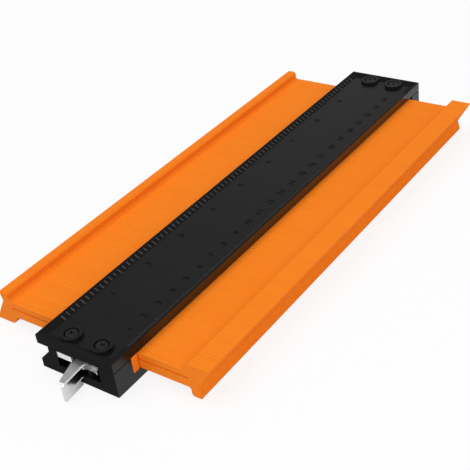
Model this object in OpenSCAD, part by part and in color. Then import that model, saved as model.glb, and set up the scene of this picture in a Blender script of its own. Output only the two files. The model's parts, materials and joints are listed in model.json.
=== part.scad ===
// Contour gauge: thin plastic leaves slide between a base and a ruler cover,
// and a cam lever at one end presses the whole row together.
// X runs along the leaves, Y along the ruler with the lever at -Y, and Z is up.
// The origin is the centre of the base's rest face.

/* [Body] */
// Width of the body, along the leaves
body_w = 43.5; // [40:0.5:60]
// Height of the body, from its rest face to the cover's rim
body_h = 18.4; // [17:0.2:26]
// Thickness of the base's floor under the leaves
floor_t = 4.85; // [3.5:0.05:6]
// Thickness of the cover at its rim
cover_t = 5.15; // [4.5:0.05:6.5]
// Length of the solid far end of the base
far_wall = 8.6; // [8:0.2:16]
// Chamfer on the outer edges of the body
edge_chamfer = 0.3; // [0.2:0.05:0.5]
// Chamfer of the seam between base and cover
seam_chamfer = 0.25; // [0.1:0.05:0.4]

/* [Ruler tray] */
// Width of the flat rim round the cover's tray
rim_w = 0.6; // [0.5:0.1:2]
// Width of the tray's sloped border
slope_w = 3.6; // [2:0.1:6]
// Depth of the tray's floor below the rim
tray_depth = 1.7; // [1:0.1:2.2]

/* [Side notch] */
// Depth of the notch in the left side of the lever end
notch_depth = 6; // [3:0.1:7]
// Height of the notch's upright inner wall
notch_wall = 2.4; // [1:0.1:3]

/* [Leaves] */
// Number of leaf groups, each sliding by itself
group_count = 40; // [20:1:44]
// Number of leaves in a group
group_leaves = 4; // [3:1:6]
// Distance from one leaf to the next
leaf_pitch = 1.5625; // [1:0.0125:2]
// Gap between neighbouring leaves
leaf_gap = 0.05; // [0.04:0.01:0.1]
// Length of a leaf from tip to tip
leaf_l = 125.8; // [110:0.2:160]
// Height of a leaf over its lips
leaf_h = 17; // [14:0.2:17.4]
// Clearance above and below the leaf's strip
leaf_clear = 0.1; // [0.05:0.01:0.2]
// Width of a leaf's wide lip
wide_lip = 10.9; // [8:0.1:14]
// Width of a leaf's narrow lip
narrow_lip = 4.8; // [3.5:0.1:5.5]
// Run of the slope on the wide lip's inner side
lip_slope = 3.4; // [1.5:0.1:5]
// Corner chamfer of the lips
lip_chamfer = 0.9; // [0.3:0.1:1.2]
// Depth of the fishtail in a leaf's end, from the wide tip
tail_depth = 7.4; // [6.5:0.1:9]
// Distance of the fishtail's vertex from the leaf's middle
tail_drop = 3.6; // [1:0.1:5]
// Height of the groove along a leaf's front face
groove_h = 0.9; // [0.5:0.1:2]
// Depth of that groove
groove_d = 0.5; // [0.2:0.05:0.7]
// Height of that groove above the leaf's middle
groove_z = 0.7; // [0:0.1:2]
// Free play between the last leaf and the far end
end_play = 3.6; // [0.5:0.1:6]
// Where the leaves stand at rest, from the middle of the body
leaf_offset = -3.6; // [-20:0.1:20]

/* [Lock] */
// Width of the lever's slot in the end face
slot_w = 24; // [22:0.5:27]
// Place of the slot's middle, across the body
slot_x = 1; // [0:0.1:2]
// Depth of the wide recess behind the slot
slot_depth = 4.9; // [4.6:0.1:5.2]
// Place of the lever's pivot across the body
pivot_x = -0.5; // [-0.6:0.1:0.6]
// Distance of the lever's pivot from the end face
pivot_y = 6.5; // [6.3:0.1:7]
// Diameter of the lever's pin
pin_d = 3; // [2:0.1:3.6]
// Depth of the pin's seats in the base and in the cover
pin_seat = 2.4; // [1:0.1:2.8]
// Radius of the cam where the plate rests with the lever open
cam_r = 4.5; // [4.2:0.1:4.6]
// Distance that the cam moves the pressure block
lock_lift = 0.5; // [0.2:0.05:0.6]
// Turn of the lever from open to locked
lever_swing = 40; // [30:1:44]
// Thickness of the pressure block
block_t = 3.6; // [2:0.1:5]
// Thickness of the steel plate let into the pressure block
plate_t = 0.8; // [0.5:0.1:1.2]
// Length of the steel plate
plate_l = 20; // [14:0.5:30]
// Border of the pressure block above and below the steel plate
plate_border = 1; // [0.5:0.1:2]
// Thickness of the keeper strip over the lever
keeper_t = 1.2; // [0.8:0.1:1.4]
// Height of the keeper strip
keeper_h = 2.9; // [2:0.1:3.2]
// Gap between the keeper strip and the cover
keeper_drop = 0.6; // [0.1:0.1:0.8]
// Depth by which the keeper strip is let into the slot's left wall
keeper_sink = 1.5; // [0.5:0.1:3]
// Distance of the keeper strip's free end from the pivot
keeper_end = 2.1; // [2:0.1:4]

/* [Lever] */
// Length of the lever outside the end face
lever_out = 12.8; // [10:0.1:20]
// Height of the finger tab's bottom above the rest face
tab_low = 0.6; // [0.3:0.1:2]
// Gap between the lever's top face and the keeper strip
lever_gap = 0.35; // [0.25:0.05:0.6]
// Lean of the lever to the right with the lever open
arm_lean = 5; // [0:0.5:6]
// Gap between the tab and the end face, on the right
tab_gap = 1.2; // [0.5:0.1:3]
// Gap between the arm and the floor of its slot
arm_gap = 0.55; // [0.3:0.05:1.5]
// Reach of the arm to the left of the line through the pivot
arm_left = 3.2; // [2.6:0.1:3.4]
// Reach of the arm to the right of that line
arm_right = 2.6; // [2:0.1:3]
// Width of the lever at its tip
tip_w = 4.2; // [3:0.1:5]
// Chamfer on the left of the lever's tip
tip_chamfer = 2.2; // [0.5:0.1:2.6]
// Length of the bevel on top of the lever's tip
tip_run = 1.6; // [0.5:0.1:3]
// Drop of that bevel
tip_fall = 0.7; // [0.2:0.1:1.2]
// Bevel along the lever's top right edge
lever_bevel = 0.5; // [0.2:0.1:0.8]
// Distance of the parting line below the arm's underside
parting_gap = 0.7; // [0.65:0.05:1.5]
// Outward lean of the lever's right side towards its parting line
side_lean = 0.5; // [0.1:0.05:0.6]
// Amount by which the bead on the parting line stands proud of that side
bead_out = 0.2; // [0.1:0.05:0.4]
// Half the height of that bead
bead_half = 0.3; // [0.2:0.05:0.6]
// Gap between the crown of the lever's arched flange and the cover
flange_gap = 1.65; // [0.5:0.05:2.5]
// Thickness of that flange at its crown
flange_t = 2.8; // [2:0.1:3.2]
// Radius of that flange's arched top
flange_r = 5.8; // [5.4:0.1:7]
// Radius of that flange's hollow underside
hollow_r = 7.8; // [7:0.1:9]
// Distance of that crown to the right of the pivot
flange_x = 7.6; // [7:0.1:8]
// Reach of that flange to the right of the pivot
flange_reach = 11.4; // [10.5:0.1:12]
// Distance of that flange's front behind the end face
flange_in = 0.8; // [0.3:0.1:1.2]

/* [Screws] */
// Distance between the two screws at the lever end
near_gap = 17.2; // [17:0.1:20]
// Distance between the two screws at the far end
far_gap = 15.4; // [12:0.1:20]
// Place of the screws' middle, across the body
screw_x = 0.6; // [0:0.1:0.8]
// Distance of the near pair from the lever end
screw_near = 8.2; // [8:0.1:8.8]
// Distance of the far pair from the far end
screw_far = 6; // [5.8:0.1:6.2]
// Diameter of a screw's thread
screw_d = 2.8; // [2:0.1:3]
// Length of a screw under its head
screw_l = 11; // [6:0.5:14]
// Diameter of a screw's head
screw_head_d = 6.4; // [5:0.1:7]
// Height of a screw's head
screw_head_h = 1.3; // [1:0.1:1.6]
// Height of the straight side of a screw's head
screw_side_h = 0.6; // [0.4:0.1:0.9]
// Width of the bevel round the top of a screw's head
screw_bevel = 0.6; // [0.2:0.1:1]
// Width of the cross recess in a screw's head
cross_w = 2.8; // [2:0.1:3.4]
// Width of one bar of that cross
cross_t = 0.7; // [0.5:0.1:1]
// Depth of that cross
cross_d = 0.9; // [0.4:0.1:1]
// Outer diameter of the ring round a screw's head
ring_d = 10.2; // [9:0.1:10.8]
// Height of the ring above the tray's floor
ring_h = 1.5; // [0.5:0.1:1.6]

/* [Fits] */
// Radial clearance of the lever on its pin
pin_run = 0.05; // [0.02:0.01:0.1]
// Radial clearance of a pin or screw in its seat
seat_clear = 0.02; // [0.01:0.01:0.05]
// Radial clearance of a screw in the cover
screw_clear = 0.2; // [0.1:0.05:0.4]
// Gap between parts that move past each other
move_gap = 0.25; // [0.2:0.05:0.3]
// Gap between the cam and the wall of its pocket
pocket_gap = 0.6; // [0.4:0.1:0.7]
// Gap between the cam and the steel plate with the lever open
cam_gap = 0.15; // [0.1:0.01:0.2]

/* [Hidden] */
$fn = 64;
eps = 0.1;
black = [0.09, 0.09, 0.1];
orange = [0.96, 0.46, 0.12];
steel = [0.8, 0.8, 0.82];

base_h = body_h - cover_t;
channel_h = base_h - floor_t;
tray_z = body_h - tray_depth;

// Along the body, from the lever end
block_y = pivot_y + cam_r + cam_gap;
block_back = block_y + block_t;
stack_y = block_back + lock_lift + cam_gap;
leaf_count = group_count * group_leaves;
stack_l = leaf_count * leaf_pitch;
body_l = stack_y + stack_l + end_play + far_wall;
head_back = block_y - move_gap;

// One leaf
leaf_t = leaf_pitch - leaf_gap;
strip_h = channel_h - 2 * leaf_clear;
leaf_z = floor_t + channel_h / 2;
lip_x = leaf_l / 2 - wide_lip;
leaf_end = [
    [lip_x - lip_slope, strip_h / 2],
    [lip_x - lip_chamfer, leaf_h / 2 - lip_chamfer],
    [lip_x, leaf_h / 2],
    [leaf_l / 2, leaf_h / 2],
    [leaf_l / 2 - tail_depth, -tail_drop],
    [lip_x + narrow_lip, -leaf_h / 2],
    [lip_x + lip_chamfer, -leaf_h / 2],
    [lip_x, -leaf_h / 2 + lip_chamfer],
    [lip_x, -strip_h / 2 - lip_chamfer],
    [lip_x - lip_chamfer, -strip_h / 2],
];
// The other end is the same end turned half round
leaf_outline = concat(leaf_end, [for (point = leaf_end) -point]);
groove_l = 2 * (lip_x - lip_chamfer);

// Screws, as places across and along the body
screw_places = [
    for (side = [-1, 1]) [screw_x + side * near_gap / 2, screw_near],
    for (side = [-1, 1]) [screw_x + side * far_gap / 2, body_l - screw_far],
];

// Lever, measured from its pivot with the arm along -Y
keeper_low = base_h - keeper_drop - keeper_h;
lever_top = keeper_low - lever_gap;
arm_low = floor_t + arm_gap;
parting_z = arm_low - parting_gap;
cam_low = floor_t + move_gap;
cam_top = lever_top - move_gap;
tip_y = -(pivot_y + lever_out);
arm_clear = 2 * (arm_left + arm_right);
side_out = arm_right + side_lean;
tip_right = side_out + bead_out;
// The tab's left inner corner clears the end face when the lever is swung over
tab_cut = (pivot_y + move_gap + arm_left * sin(lever_swing)) / cos(lever_swing);
flange_top = base_h - flange_gap;

// Radius of the cam at an angle past the place where the plate rests
cam_rise = lock_lift / lever_swing;
cam_run = lever_swing + 12;
cam_fall = 70;
pocket_r = cam_r + cam_rise * cam_run + pocket_gap;
function cam_radius(turn) =
    turn < 0 ? cam_r :
    turn < cam_run ? cam_r + cam_rise * turn :
    turn < cam_run + cam_fall ? cam_r + cam_rise * cam_run * (1 - (turn - cam_run) / cam_fall) :
    cam_r;

function group_name(i) = str("leaf_group_", i < 9 ? "0" : "", i + 1);

// Puts children at a distance from the lever end
module from_end(y) {
    translate([0, y - body_l / 2, 0])
        children();
}

// Stands an outline drawn in X and Z upright and draws it along +Y
module along_y(length) {
    translate([0, length, 0])
        rotate([90, 0, 0])
            linear_extrude(length)
                children();
}

// Stands an outline drawn in Y and Z upright and draws it along +X
module along_x(length) {
    rotate([90, 0, 90])
        linear_extrude(length)
            children();
}

// A box centred across the body
module plank(width, length, height) {
    translate([-width / 2, 0, 0])
        cube([width, length, height]);
}

// Section of the body's width with chamfered corners at the bottom or the top
module shell_section(width, low, high, chamfer_low, chamfer_high) {
    half = width / 2;
    polygon([
        [-half + chamfer_low, low],
        [half - chamfer_low, low],
        [half, low + chamfer_low],
        [half, high - chamfer_high],
        [half - chamfer_high, high],
        [-half + chamfer_high, high],
        [-half, high - chamfer_high],
        [-half, low + chamfer_low],
    ]);
}

// A slab of the body, chamfered round its lower or upper edge on all four sides
module shell_slab(low, high, chamfer_low, chamfer_high) {
    intersection() {
        from_end(0)
            along_y(body_l)
                shell_section(body_w, low, high, chamfer_low, chamfer_high);
        translate([-body_w / 2, 0, 0])
            along_x(body_w)
                shell_section(body_l, low, high, chamfer_low, chamfer_high);
    }
}

module screw_holes(radius, low, high) {
    for (place = screw_places)
        from_end(place[1])
            translate([place[0], 0, low])
                cylinder(r = radius, h = high - low);
}

// Notch in the left side of the lever end: an upright wall, then a slope out to the floor
module side_notch() {
    left = -body_w / 2;
    wall_foot = base_h - notch_wall;
    from_end(-eps)
        along_y(head_back + 2 * eps)
            polygon([
                [left - eps, floor_t],
                [left, floor_t],
                [left + notch_depth, wall_foot],
                [left + notch_depth, base_h + eps],
                [left - eps, base_h + eps],
            ]);
}

// Room for the lever: the slot's recess and the round pocket of the cam
module lever_room() {
    room_h = base_h - floor_t + eps;
    from_end(-eps)
        translate([slot_x - slot_w / 2, 0, floor_t])
            cube([slot_w, slot_depth + eps, room_h]);
    from_end(pivot_y)
        translate([pivot_x, 0, floor_t])
            cylinder(r = pocket_r, h = room_h);
}

// Room of the keeper strip in the slot's left wall, open towards the cover
module keeper_place(clear, over) {
    left = slot_x - slot_w / 2 - keeper_sink;
    right = pivot_x - keeper_end;
    from_end(move_gap - clear)
        translate([left - clear, 0, keeper_low - clear])
            cube([right - left + clear, keeper_t + 2 * clear, keeper_h + clear + over]);
}

module pin_bore(clear, low, high) {
    from_end(pivot_y)
        translate([pivot_x, 0, low])
            cylinder(d = pin_d + 2 * clear, h = high - low);
}

module base_shell() {
    color(black)
        difference() {
            shell_slab(0, base_h, edge_chamfer, seam_chamfer);
            from_end(head_back)
                translate([0, 0, floor_t])
                    plank(body_w + 2 * eps, body_l - head_back - far_wall, base_h);
            side_notch();
            lever_room();
            keeper_place(seat_clear, keeper_drop + eps);
            pin_bore(seat_clear, floor_t - pin_seat, floor_t + eps);
            screw_holes(screw_d / 2 + seat_clear, tray_z - screw_l - eps, base_h + eps);
        }
}

// The tray: straight sides that slope in from the rim to the floor on all four sides
module tray_cut() {
    half_w = body_w / 2 - rim_w;
    half_l = body_l / 2 - rim_w;
    intersection() {
        from_end(0)
            along_y(body_l)
                tray_section(half_w);
        translate([-body_w / 2, 0, 0])
            along_x(body_w)
                tray_section(half_l);
    }
}

module tray_section(half) {
    over = slope_w * eps / tray_depth;
    polygon([
        [-half - over, body_h + eps],
        [-half + slope_w, tray_z],
        [half - slope_w, tray_z],
        [half + over, body_h + eps],
    ]);
}

module top_cover() {
    color(black)
        difference() {
            union() {
                difference() {
                    shell_slab(base_h, body_h, seam_chamfer, edge_chamfer);
                    tray_cut();
                }
                for (place = screw_places)
                    from_end(place[1])
                        translate([place[0], 0, tray_z - eps])
                            cylinder(d = ring_d, h = ring_h + eps);
            }
            for (place = screw_places)
                from_end(place[1])
                    translate([place[0], 0, tray_z])
                        cylinder(d = screw_head_d + 2 * move_gap, h = tray_depth + eps);
            screw_holes(screw_d / 2 + screw_clear, base_h - eps, tray_z + eps);
            pin_bore(seat_clear, base_h - eps, base_h + pin_seat);
        }
}

// One cross-head screw, its head resting on the tray's floor
module screw() {
    translate([0, 0, -screw_l])
        cylinder(d = screw_d, h = screw_l);
    difference() {
        union() {
            cylinder(d = screw_head_d, h = screw_side_h);
            translate([0, 0, screw_side_h])
                cylinder(
                    d1 = screw_head_d,
                    d2 = screw_head_d - 2 * screw_bevel,
                    h = screw_head_h - screw_side_h
                );
        }
        for (turn = [45, 135])
            rotate(turn)
                translate([-cross_w / 2, -cross_t / 2, screw_head_h - cross_d])
                    cube([cross_w, cross_t, cross_d + eps]);
    }
}

module cover_screws() {
    color(black)
        for (place = screw_places)
            from_end(place[1])
                translate([place[0], 0, tray_z])
                    screw();
}

module lever_pin() {
    color(steel)
        pin_bore(0, floor_t - pin_seat, base_h + pin_seat);
}

module lever_keeper() {
    color(steel)
        keeper_place(0, 0);
}

// Plan of the arm and its finger tab, straight on the right and tapering on the left
module lever_plan() {
    polygon([
        [-arm_left, 0],
        [-arm_left, -pivot_y],
        [tip_right - tip_w, tip_y + tip_chamfer],
        [tip_right - tip_w + tip_chamfer, tip_y],
        [arm_clear, tip_y],
        [arm_clear, 0],
    ]);
}

// Section of the lever: on the right a bevelled top edge and a bead along the parting line
module lever_section() {
    polygon([
        [-arm_clear, tab_low],
        [arm_right, tab_low],
        [side_out, parting_z - bead_half],
        [tip_right, parting_z],
        [side_out, parting_z + bead_half],
        [arm_right, lever_top - lever_bevel],
        [arm_right - lever_bevel, lever_top],
        [-arm_clear, lever_top],
    ]);
}

// Room under the arm, so that the finger tab clears the end face when the lever swings to the left
module arm_room() {
    translate([0, 0, tab_low - eps])
        linear_extrude(arm_low - tab_low + eps)
            polygon([
                [arm_clear, -pivot_y - tab_gap],
                [arm_right, -pivot_y - tab_gap],
                [-arm_left, -tab_cut],
                [-arm_clear, -tab_cut],
                [-arm_clear, arm_clear],
                [arm_clear, arm_clear],
            ]);
}

// Bevel on top of the lever's tip
module tip_bevel() {
    translate([-arm_clear, 0, 0])
        along_x(2 * arm_clear)
            polygon([
                [tip_y - tip_run, lever_top - 2 * tip_fall],
                [tip_y + tip_run, lever_top],
                [tip_y + tip_run, lever_top + eps],
                [tip_y - tip_run, lever_top + eps],
            ]);
}

// The arm and its finger tab
module lever_handle() {
    difference() {
        intersection() {
            translate([0, tip_y - eps, 0])
                along_y(2 * eps - tip_y)
                    lever_section();
            translate([0, 0, tab_low - eps])
                linear_extrude(lever_top - tab_low + 2 * eps)
                    lever_plan();
        }
        arm_room();
        tip_bevel();
    }
}

// Arched flange at the right of the arm
module lever_flange() {
    translate([0, flange_in - pivot_y, 0])
        along_y(slot_depth - flange_in - move_gap)
            intersection() {
                difference() {
                    translate([flange_x, flange_top - flange_r])
                        circle(r = flange_r);
                    translate([flange_x, flange_top - flange_t - hollow_r])
                        circle(r = hollow_r);
                }
                square([flange_reach, base_h]);
            }
}

module cam_body() {
    step = 5;
    translate([0, 0, cam_low])
        linear_extrude(cam_top - cam_low)
            polygon([
                for (turn = [-180:step:180 - step])
                    cam_radius(turn) * [cos(90 + turn), sin(90 + turn)]
            ]);
}

module lock_lever() {
    color(steel)
        from_end(pivot_y)
            translate([pivot_x, 0, 0])
                difference() {
                    union() {
                        cam_body();
                        rotate(arm_lean)
                            lever_handle();
                        lever_flange();
                    }
                    translate([0, 0, cam_low - eps])
                        cylinder(d = pin_d + 2 * pin_run, h = lever_top - cam_low + 2 * eps);
                }
}

// Room of the steel plate in the front of the pressure block
module plate_place(clear, over) {
    height = strip_h - 2 * plate_border;
    from_end(block_y - over)
        translate([pivot_x, 0, leaf_z - height / 2 - clear])
            plank(plate_l + 2 * clear, plate_t + over, height + 2 * clear);
}

module pressure_plate() {
    color(steel)
        plate_place(0, 0);
}

module pressure_block() {
    color(orange)
        difference() {
            from_end(block_y)
                translate([0, 0, leaf_z - strip_h / 2])
                    plank(body_w, block_t, strip_h);
            plate_place(seat_clear, eps);
        }
}

// One leaf, with a shallow groove along the face towards the lever end
module leaf() {
    difference() {
        along_y(leaf_t)
            polygon(leaf_outline);
        translate([0, -eps, groove_z - groove_h / 2])
            plank(groove_l, groove_d + eps, groove_h);
    }
}

module leaf_group(index) {
    color(orange)
        for (i = [0:group_leaves - 1])
            from_end(stack_y + (index * group_leaves + i) * leaf_pitch + leaf_gap / 2)
                translate([leaf_offset, 0, leaf_z])
                    leaf();
}

base_shell();
top_cover();
cover_screws();
lever_pin();
lever_keeper();
lock_lever();
pressure_plate();
pressure_block();
for (i = [0:group_count - 1])
    leaf_group(i);
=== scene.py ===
"""Looks of the contour gauge: plastic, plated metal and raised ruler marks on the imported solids."""

import json
import math

import bmesh
import bpy
from mathutils import Matrix, Vector


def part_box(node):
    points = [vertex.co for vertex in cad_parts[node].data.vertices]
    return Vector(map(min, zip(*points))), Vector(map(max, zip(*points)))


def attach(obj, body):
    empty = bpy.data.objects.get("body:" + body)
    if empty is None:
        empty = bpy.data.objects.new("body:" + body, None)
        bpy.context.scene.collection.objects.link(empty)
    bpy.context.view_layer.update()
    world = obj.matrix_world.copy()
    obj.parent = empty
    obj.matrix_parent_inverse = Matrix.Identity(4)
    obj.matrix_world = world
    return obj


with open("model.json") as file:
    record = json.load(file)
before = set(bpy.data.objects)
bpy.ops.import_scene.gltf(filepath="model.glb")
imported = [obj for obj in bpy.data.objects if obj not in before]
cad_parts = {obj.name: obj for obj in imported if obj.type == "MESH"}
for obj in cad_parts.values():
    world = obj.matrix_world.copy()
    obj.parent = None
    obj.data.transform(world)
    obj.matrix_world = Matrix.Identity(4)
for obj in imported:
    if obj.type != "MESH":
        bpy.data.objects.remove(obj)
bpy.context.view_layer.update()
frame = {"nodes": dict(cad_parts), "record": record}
scene = bpy.context.scene
nodes = frame["nodes"]

MM = 0.001
INCH = 25.4
CM = 10
WELD = 0.0005 * MM

# Places on the cover, in millimetres
cover_low, cover_high = (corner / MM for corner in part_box("top_cover"))
RIM_W = 0.6
SLOPE_W = 3.6
TRAY_DEPTH = 1.7
RIM_Z = cover_high.z
TRAY_Z = RIM_Z - TRAY_DEPTH
LEFT_X = cover_low.x
RIGHT_X = cover_high.x
NEAR_Y = cover_low.y

# The ruler's two scales, measured from the lever end and the right side
INCH_ZERO = 14.75
INCH_PARTS = 8
INCH_STEPS = 80
INCH_DIGITS_X = 32.7
INCH_DIGITS_BACK = 1.15
CM_ZERO = 13.1
CM_STEPS = 250
CM_DIGITS_X = 9.8
DIGIT_H = 3.2
DIGIT_SHARE = 0.7  # a digit's height as a share of its font size
MARK_PROUD = 0.12
MARK_SUNK = 0.08

# Widths of the ticks in millimetres, and their ends as shares of the way down the sloped border
INCH_TICK_W = 0.65
INCH_TICK_START = 0.26
INCH_TICK_LONG = 0.98
INCH_TICK_SHORT = 0.84
CM_TICK_W = 0.3
CM_TICK_START = 0.08
CM_TICK_LONG = 0.97
CM_TICK_HALF = 0.88
CM_TICK_SHORT = 0.78

# The row of leaves
LEAF_PITCH = 1.5625
leaf_nodes = sorted(name for name in nodes if name.startswith("leaf_group"))
STACK_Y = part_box(leaf_nodes[0])[0].y
ROW_HALF = (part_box(leaf_nodes[-1])[1].y - STACK_Y) / 2

# The polish on the body's sides fades between these distances from the ends of the row
POLISH_FULL = 14 * MM
POLISH_FAINT = 2 * MM

# The floor glows in part near the object, where it keeps the shadow, and wholly further off
FLOOR_GLOW = 0.85
FLOOR_GLOW_FROM = 0.35
FLOOR_GLOW_TO = 0.9


# Materials


class Shader:
    """A node material with one Principled shader."""

    def __init__(self, name, **sockets):
        self.material = bpy.data.materials.new(name)
        self.material.use_nodes = True
        self.tree = self.material.node_tree
        self.tree.nodes.clear()
        self.surface = self.add("BsdfPrincipled")
        self.output = self.add("OutputMaterial")
        self.link(self.surface.outputs["BSDF"], self.output.inputs["Surface"])
        for socket, value in sockets.items():
            self.surface.inputs[socket.replace("_", " ")].default_value = value
        self.coordinates = self.add("TexCoord").outputs["Object"]

    def add(self, kind, **settings):
        made = self.tree.nodes.new("ShaderNode" + kind)
        for key, value in settings.items():
            setattr(made, key, value)
        return made

    def link(self, source, target):
        self.tree.links.new(source, target)

    def feed(self, target, value):
        if isinstance(value, bpy.types.NodeSocket):
            self.link(value, target)
        else:
            target.default_value = value

    def stretch(self, x, y, z):
        """The object's coordinates, scaled differently along each axis."""
        mapping = self.add("Mapping")
        self.link(self.coordinates, mapping.inputs["Vector"])
        mapping.inputs["Scale"].default_value = (x, y, z)
        return mapping.outputs["Vector"]

    def noise(self, scale, detail=4.0, rough=0.5, vector=None):
        made = self.add("TexNoise")
        self.link(vector or self.coordinates, made.inputs["Vector"])
        made.inputs["Scale"].default_value = scale
        made.inputs["Detail"].default_value = detail
        made.inputs["Roughness"].default_value = rough
        return made.outputs["Fac"]

    def math(self, operation, a, b=0.0):
        made = self.add("Math", operation=operation)
        self.feed(made.inputs[0], a)
        self.feed(made.inputs[1], b)
        return made.outputs[0]

    def span(self, value, low, high, to_low, to_high):
        """Maps low..high to to_low..to_high and holds the ends."""
        made = self.add("MapRange")
        self.feed(made.inputs["Value"], value)
        limits = {"From Min": low, "From Max": high, "To Min": to_low, "To Max": to_high}
        for socket, number in limits.items():
            made.inputs[socket].default_value = number
        return made.outputs["Result"]

    def mix(self, factor, first, second):
        made = self.add("Mix", data_type="RGBA")
        self.feed(made.inputs["Factor"], factor)
        self.feed(made.inputs[6], first)
        self.feed(made.inputs[7], second)
        return made.outputs[2]

    def edges(self, radius):
        """1 along the edges of the shape and 0 on its flats."""
        rounded = self.add("Bevel", samples=6)
        rounded.inputs["Radius"].default_value = radius
        normal = self.add("NewGeometry").outputs["Normal"]
        turn = self.add("VectorMath", operation="DOT_PRODUCT")
        self.link(rounded.outputs["Normal"], turn.inputs[0])
        self.link(normal, turn.inputs[1])
        return self.span(turn.outputs["Value"], 0.99, 0.86, 0.0, 1.0)

    def place(self):
        """The place on the surface, in the object's own axes."""
        made = self.add("SeparateXYZ")
        self.link(self.coordinates, made.inputs[0])
        return made

    def facing(self):
        """The direction that the surface faces, in the object's own axes."""
        made = self.add("SeparateXYZ")
        self.link(self.add("TexCoord").outputs["Normal"], made.inputs[0])
        return made

    def colour(self, value):
        self.link(value, self.surface.inputs["Base Color"])

    def roughness(self, value):
        self.link(value, self.surface.inputs["Roughness"])

    def bump(self, *layers):
        """Layers of (height, strength, distance in millimetres)."""
        normal = None
        for height, strength, distance in layers:
            made = self.add("Bump")
            made.inputs["Strength"].default_value = strength
            made.inputs["Distance"].default_value = distance * MM
            self.link(height, made.inputs["Height"])
            if normal:
                self.link(normal, made.inputs["Normal"])
            normal = made.outputs["Normal"]
        self.link(normal, self.surface.inputs["Normal"])


def grey(level, warm=0.0):
    """A grey in linear values, tinted by a share towards red."""
    return (level * (1 + warm), level, level * (1 - warm), 1.0)


def case_plastic():
    """Black moulded plastic: polished sides, a satin tray, coarse ends and borders, pale edges."""
    s = Shader("case_plastic", Specular_IOR_Level=0.2, Coat_Roughness=0.12)
    grain = s.noise(2600, detail=3)
    broad = s.noise(38, detail=5, rough=0.6)
    scuffs = s.noise(1.0, detail=6, rough=0.7, vector=s.stretch(900, 26, 900))
    facing = s.facing()
    upright = s.span(s.math("ABSOLUTE", facing.outputs["Z"]), 0.97, 0.93, 0.0, 1.0)
    sideways = s.span(s.math("ABSOLUTE", facing.outputs["X"]), 0.75, 0.95, 0.0, 1.0)
    coarse = s.math("MULTIPLY", upright, s.math("SUBTRACT", 1.0, sideways))
    worn = s.math("MULTIPLY", s.edges(0.2 * MM), s.span(s.noise(420), 0.35, 0.7, 0.15, 1.0))
    tone = s.mix(s.span(broad, 0.3, 0.7, 0.0, 1.0), grey(0.0034), grey(0.0052, 0.03))
    s.colour(s.mix(s.math("MULTIPLY", worn, 0.4), tone, grey(0.03)))
    satin = s.math("ADD", s.span(broad, 0.3, 0.7, 0.27, 0.33),
                   s.span(scuffs, 0.5, 0.75, 0.0, 0.08))
    s.roughness(s.math("ADD", satin, s.math("MULTIPLY", coarse, 0.65)))
    along = s.math("SUBTRACT", s.place().outputs["Y"], STACK_Y + ROW_HALF)
    rubbed = s.span(s.math("ABSOLUTE", along), ROW_HALF - POLISH_FULL, ROW_HALF - POLISH_FAINT,
                    0.75, 0.12)
    s.link(s.math("MULTIPLY", sideways, rubbed), s.surface.inputs["Coat Weight"])
    s.bump((grain, 0.16, 0.03), (scuffs, 0.05, 0.02))
    return s.material


def leaf_plastic():
    """Orange moulded plastic: each leaf a slightly different shade, with flow lines along it."""
    s = Shader("leaf_plastic", Specular_IOR_Level=0.04)
    along = s.math("SUBTRACT", s.place().outputs["Y"], STACK_Y)
    number = s.math("FLOOR", s.math("DIVIDE", along, LEAF_PITCH * MM))
    chance = s.add("TexWhiteNoise", noise_dimensions="1D")
    s.link(number, chance.inputs["W"])
    flow = s.noise(1.0, detail=5, rough=0.6, vector=s.stretch(24, 900, 260))
    cloud = s.noise(26, detail=4)
    grain = s.noise(2400, detail=3)
    shade = s.math("ADD", s.span(chance.outputs["Value"], 0.0, 1.0, -0.2, 0.2),
                   s.span(flow, 0.3, 0.7, 0.35, 0.65))
    tone = s.mix(s.math("ADD", shade, s.span(cloud, 0.3, 0.7, -0.12, 0.12)),
                 (0.88, 0.205, 0.0115, 1.0), (0.93, 0.234, 0.0160, 1.0))
    # Painted highlight: the edges of the leaves are coloured a lighter orange.
    s.colour(s.mix(s.math("MULTIPLY", s.edges(0.12 * MM), 0.3), tone, (0.95, 0.27, 0.03, 1.0)))
    ends = s.span(s.math("ABSOLUTE", s.facing().outputs["X"]), 0.5, 0.8, 0.0, 0.35)
    s.roughness(s.math("ADD", s.span(flow, 0.3, 0.7, 0.46, 0.56), ends))
    s.bump((grain, 0.10, 0.02), (flow, 0.06, 0.03))
    return s.material


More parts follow.
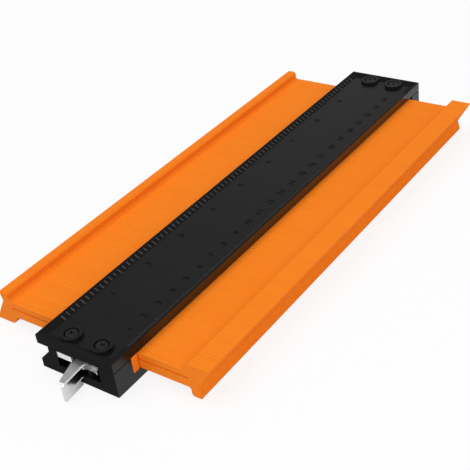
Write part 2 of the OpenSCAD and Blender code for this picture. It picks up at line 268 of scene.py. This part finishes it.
def lever_chrome():
    """Plated metal: a dull blasted top; on the sides a painted shade just outside the slot, lighter
    towards the tip and inside it; bevels painted near white as a painted highlight.
    """
    s = Shader("lever_chrome")
    up = s.facing().outputs["Z"]
    top = s.span(up, 0.94, 0.98, 0.0, 1.0)
    bevel = s.math("MULTIPLY", s.span(up, 0.40, 0.50, 0.0, 1.0),
                   s.span(up, 0.94, 0.98, 1.0, 0.0))
    blast = s.noise(5200, detail=3, rough=0.7)
    scratch = s.noise(1.0, detail=5, rough=0.7, vector=s.stretch(2600, 120, 700))
    spots = s.noise(260, detail=4)
    speckle = s.mix(s.span(blast, 0.40, 0.60, 0.0, 1.0), grey(0.24), grey(0.50))
    along = s.place().outputs["Y"]
    # Painted shade: the sides are coloured dark just outside the slot, where the cover shades them
    # and they mirror the black case, and lighter towards the tip and inside the slot.
    lit_toward_tip = s.span(along, (NEAR_Y - 1) * MM, (NEAR_Y - 11) * MM, 0.0, 1.0)
    inside_slot = s.span(along, (NEAR_Y + 0.2) * MM, (NEAR_Y + 0.7) * MM, 0.0, 1.0)
    plated = s.mix(s.math("MAXIMUM", lit_toward_tip, inside_slot), grey(0.20, 0.01), grey(0.68, 0.004))
    sides = s.mix(s.span(spots, 0.55, 0.8, 0.0, 0.25), plated, grey(0.32, 0.02))
    # Painted highlight: the bevel faces are coloured near white, with less metal and more roughness,
    # so that they show as a bright line.
    s.colour(s.mix(bevel, s.mix(top, sides, speckle), grey(0.95)))
    dull = s.math("ADD", s.math("MULTIPLY", top, 0.7), s.math("MULTIPLY", bevel, 0.6))
    s.link(s.math("SUBTRACT", 1.0, dull), s.surface.inputs["Metallic"])
    s.roughness(s.math("ADD", s.span(dull, 0.0, 0.7, 0.17, 0.55),
                       s.span(scratch, 0.5, 0.8, 0.0, 0.06)))
    s.bump((s.math("MULTIPLY", blast, top), 0.5, 0.05), (scratch, 0.06, 0.01))
    return s.material


def plain_steel():
    """Bright rolled steel with lines along its length."""
    s = Shader("plain_steel", Metallic=1.0)
    lines = s.noise(1.0, detail=5, rough=0.65, vector=s.stretch(60, 2400, 2400))
    cloud = s.noise(180, detail=4)
    s.colour(s.mix(s.span(cloud, 0.35, 0.7, 0.0, 1.0), grey(0.80), grey(0.66, 0.01)))
    s.roughness(s.span(lines, 0.3, 0.7, 0.16, 0.32))
    s.bump((lines, 0.10, 0.01))
    return s.material


def screw_black():
    """Black oxide steel, rubbed on its edges."""
    s = Shader("screw_black", Metallic=0.2, Specular_IOR_Level=0.25)
    grain = s.noise(1800, detail=4)
    cloud = s.noise(300, detail=4)
    worn = s.math("MULTIPLY", s.edges(0.25 * MM), s.span(cloud, 0.35, 0.65, 0.1, 1.0))
    tone = s.mix(s.span(cloud, 0.3, 0.7, 0.0, 1.0), grey(0.007), grey(0.014, 0.02))
    s.colour(s.mix(s.math("MULTIPLY", worn, 0.6), tone, grey(0.09)))
    s.roughness(s.span(grain, 0.3, 0.7, 0.30, 0.42))
    s.bump((grain, 0.14, 0.02))
    return s.material


def ruler_mark(name, low, high, gloss):
    """Raised marks of the ruler, rubbed by use so that their tops differ a little."""
    s = Shader(name, Specular_IOR_Level=gloss)
    cloud = s.noise(240, detail=5, rough=0.65)
    grain = s.noise(2600, detail=3)
    s.colour(s.mix(s.span(cloud, 0.3, 0.7, 0.0, 1.0), grey(low), grey(high)))
    s.roughness(s.span(cloud, 0.3, 0.7, 0.34, 0.46))
    s.bump((grain, 0.12, 0.02))
    return s.material


def floor_white():
    """White sweep with a barely visible tooth: a faint shadow at the object, plain white beyond."""
    s = Shader("floor_white", Roughness=0.9, Specular_IOR_Level=0.0)
    s.colour(s.mix(s.noise(9, detail=3), grey(0.86), grey(0.88)))
    s.bump((s.noise(700), 0.02, 0.05))
    path = s.add("LightPath")
    mirrored = s.math("MAXIMUM", path.outputs["Is Glossy Ray"], path.outputs["Is Transmission Ray"])
    seen = s.math("MAXIMUM", path.outputs["Is Camera Ray"], mirrored)
    away = s.add("VectorMath", operation="LENGTH")
    s.link(s.coordinates, away.inputs[0])
    plain = s.span(away.outputs["Value"], FLOOR_GLOW_FROM, FLOOR_GLOW_TO, FLOOR_GLOW, 1.0)
    blend = s.add("MixShader")
    s.link(s.math("MULTIPLY", seen, plain), blend.inputs["Fac"])
    s.link(s.surface.outputs["BSDF"], blend.inputs[1])
    s.link(s.add("Emission").outputs["Emission"], blend.inputs[2])
    s.link(blend.outputs["Shader"], s.output.inputs["Surface"])
    return s.material


looks = {
    "case_plastic": case_plastic(),
    "leaf_plastic": leaf_plastic(),
    "lever_chrome": lever_chrome(),
    "plain_steel": plain_steel(),
    "screw_black": screw_black(),
}
slot_of = {row["node"]: row["material_slot"] for row in frame["record"]["subparts"]}
for name, node in nodes.items():
    node.data.materials.clear()
    node.data.materials.append(looks[slot_of[name]])


# Softened edges of the solids

EDGE_ANGLE = math.radians(25)
EDGE_STEPS = 2
EDGE_WIDTHS = {  # in millimetres
    "base_shell": 0.15,
    "top_cover": 0.22,
    "pressure_block": 0.12,
    "lock_lever": 0.14,
    "lever_keeper": 0.08,
    "pressure_plate": 0.06,
}


def soften(node, width):
    weld = node.modifiers.new("weld", "WELD")
    weld.merge_threshold = WELD
    bevel = node.modifiers.new("edges", "BEVEL")
    bevel.width = width * MM
    bevel.segments = EDGE_STEPS
    bevel.limit_method = "ANGLE"
    bevel.angle_limit = EDGE_ANGLE


for name, width in EDGE_WIDTHS.items():
    soften(nodes[name], width)


# Ruler marks


def add_piece(name, mesh, material, body):
    piece = bpy.data.objects.new(name, mesh)
    scene.collection.objects.link(piece)
    mesh.materials.append(material)
    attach(piece, body)


def slope_bars(name, side, bars):
    """Raised bars on a sloped border of the tray, on the right (1) or the left (-1).

    Each bar is (y, width, start, end), with start and end measured from the rim down the slope.
    """
    rim_x = (RIGHT_X if side > 0 else LEFT_X) - side * RIM_W
    slope = Vector((-side * SLOPE_W, 0, -TRAY_DEPTH))
    down = slope.normalized()
    out = Vector((-side * TRAY_DEPTH, 0, SLOPE_W)).normalized()
    turn = Matrix((down, Vector((0, 1, 0)), out)).transposed().to_4x4()
    bm = bmesh.new()
    for y, width, start, end in bars:
        foot = Vector((rim_x, NEAR_Y + y, RIM_Z)) + down * (start + end) / 2
        centre = foot + out * (MARK_PROUD - MARK_SUNK) / 2
        size = Matrix.Diagonal((end - start, width, MARK_PROUD + MARK_SUNK, 1))
        place = Matrix.Scale(MM, 4) @ Matrix.Translation(centre) @ turn @ size
        bmesh.ops.create_cube(bm, size=1, matrix=place)
    mesh = bpy.data.meshes.new(name)
    bm.normal_update()
    bmesh.ops.recalc_face_normals(bm, faces=bm.faces)
    bm.to_mesh(mesh)
    bm.free()
    return mesh


def digit_row(name, places):
    """Raised numbers on the tray's floor, read from the right side. Each is (text, x, y)."""
    bm = bmesh.new()
    for text, x, y in places:
        curve = bpy.data.curves.new(name, "FONT")
        curve.body = text
        curve.size = DIGIT_H / DIGIT_SHARE * MM
        curve.extrude = (MARK_PROUD + MARK_SUNK) / 2 * MM
        curve.align_x = "CENTER"
        curve.align_y = "CENTER"
        curve.resolution_u = 4
        words = bpy.data.objects.new(name, curve)
        scene.collection.objects.link(words)
        bpy.context.view_layer.update()
        solid = words.evaluated_get(bpy.context.evaluated_depsgraph_get())
        mesh = bpy.data.meshes.new_from_object(solid)
        place = Vector((x, NEAR_Y + y, TRAY_Z + (MARK_PROUD - MARK_SUNK) / 2)) * MM
        mesh.transform(Matrix.Translation(place) @ Matrix.Rotation(math.radians(90), 4, "Z"))
        bm.from_mesh(mesh)
        bpy.data.objects.remove(words)
        bpy.data.curves.remove(curve)
        bpy.data.meshes.remove(mesh)
    bmesh.ops.remove_doubles(bm, verts=bm.verts, dist=WELD)
    mesh = bpy.data.meshes.new(name)
    bm.to_mesh(mesh)
    bm.free()
    return mesh


SLOPE_L = math.hypot(SLOPE_W, TRAY_DEPTH)
inch_bars = []
for step in range(INCH_STEPS + 1):
    end = INCH_TICK_LONG if step % (INCH_PARTS // 2) == 0 else INCH_TICK_SHORT
    y = INCH_ZERO + step * INCH / INCH_PARTS
    inch_bars.append((y, INCH_TICK_W, INCH_TICK_START * SLOPE_L, end * SLOPE_L))
cm_bars = []
for step in range(CM_STEPS + 1):
    end = CM_TICK_SHORT
    if step % CM == 0:
        end = CM_TICK_LONG
    elif step % (CM // 2) == 0:
        end = CM_TICK_HALF
    cm_bars.append((CM_ZERO + step, CM_TICK_W, CM_TICK_START * SLOPE_L, end * SLOPE_L))

pale_ink = ruler_mark("pale_marks", 0.042, 0.062, 0.2)
dark_ink = ruler_mark("dark_marks", 0.0018, 0.0034, 0.07)
add_piece("inch_ticks", slope_bars("inch_ticks", -1, inch_bars), pale_ink, "case")
add_piece("cm_ticks", slope_bars("cm_ticks", 1, cm_bars), pale_ink, "case")
inch_places = [(str(n), RIGHT_X - INCH_DIGITS_X, INCH_ZERO - INCH_DIGITS_BACK + n * INCH)
               for n in range(1, INCH_STEPS // INCH_PARTS)]
cm_places = [(str(n), RIGHT_X - CM_DIGITS_X, CM_ZERO + n * CM)
             for n in range(1, CM_STEPS // CM)]
add_piece("inch_digits", digit_row("inch_digits", inch_places), dark_ink, "case")
add_piece("cm_digits", digit_row("cm_digits", cm_places), dark_ink, "case")


# Camera, at the photograph's viewing angle (degrees and millimetres)

CAMERA_AZ = 39.092
CAMERA_EL = 33.485
CAMERA_ROLL = -7.838
CAMERA_AT = (260.20, -203.84 + NEAR_Y, 276.70)
LENS = 75.972
SENSOR_W = 36


def camera_turn(azimuth, elevation, roll):
    a, e, r = (math.radians(angle) for angle in (azimuth, elevation, roll))
    back = Vector((math.sin(a) * math.cos(e), -math.cos(a) * math.cos(e), math.sin(e)))
    level = Vector((0, 0, 1)).cross(back).normalized()
    upright = back.cross(level)
    right = level * math.cos(r) + upright * math.sin(r)
    up = upright * math.cos(r) - level * math.sin(r)
    return Matrix((right, up, back)).transposed().to_4x4()


camera = bpy.data.objects.new("camera", bpy.data.cameras.new("camera"))
scene.collection.objects.link(camera)
camera.data.lens = LENS
camera.data.sensor_width = SENSOR_W
turn = camera_turn(CAMERA_AZ, CAMERA_EL, CAMERA_ROLL)
camera.matrix_world = Matrix.Translation(Vector(CAMERA_AT) * MM) @ turn
scene.camera = camera


# White sweep and soft studio light (metres and watts)

FLOOR_HALF = 12.0
FLOOR_DROP = 0.05 * MM
WORLD_LEVEL = 0.30
SOFTBOXES = (  # name, place, size and power
    ("key", (-0.4, -0.15, 1.5), 1.4, 14.8),
    ("fill", (1.0, -1.05, 0.8), 1.5, 13.2),
    ("rim", (0.9, 1.3, 0.85), 0.9, 5.0),
    ("back", (-0.75, 1.55, 0.8), 1.6, 1.1),
)

floor_mesh = bpy.data.meshes.new("floor")
corners = [(x * FLOOR_HALF, y * FLOOR_HALF, -FLOOR_DROP)
           for x, y in ((-1, -1), (1, -1), (1, 1), (-1, 1))]
floor_mesh.from_pydata(corners, [], [(0, 1, 2, 3)])
floor_mesh.materials.append(floor_white())
floor = bpy.data.objects.new("floor", floor_mesh)
scene.collection.objects.link(floor)


def plain_world(strength):
    world = bpy.data.worlds.new("studio")
    world.use_nodes = True
    background = world.node_tree.nodes["Background"]
    background.inputs["Color"].default_value = (1, 1, 1, 1)
    background.inputs["Strength"].default_value = strength
    return world


def softbox(name, place, size, power):
    """A square lamp that faces the middle of the object."""
    lamp = bpy.data.lights.new(name, "AREA")
    lamp.shape = "SQUARE"
    lamp.size = size
    lamp.energy = power
    made = bpy.data.objects.new(name, lamp)
    scene.collection.objects.link(made)
    made.location = place
    made.rotation_euler = (-Vector(place)).to_track_quat("-Z", "Y").to_euler()


scene.world = plain_world(WORLD_LEVEL)
for row in SOFTBOXES:
    softbox(*row)

scene.view_settings.view_transform = "Standard"
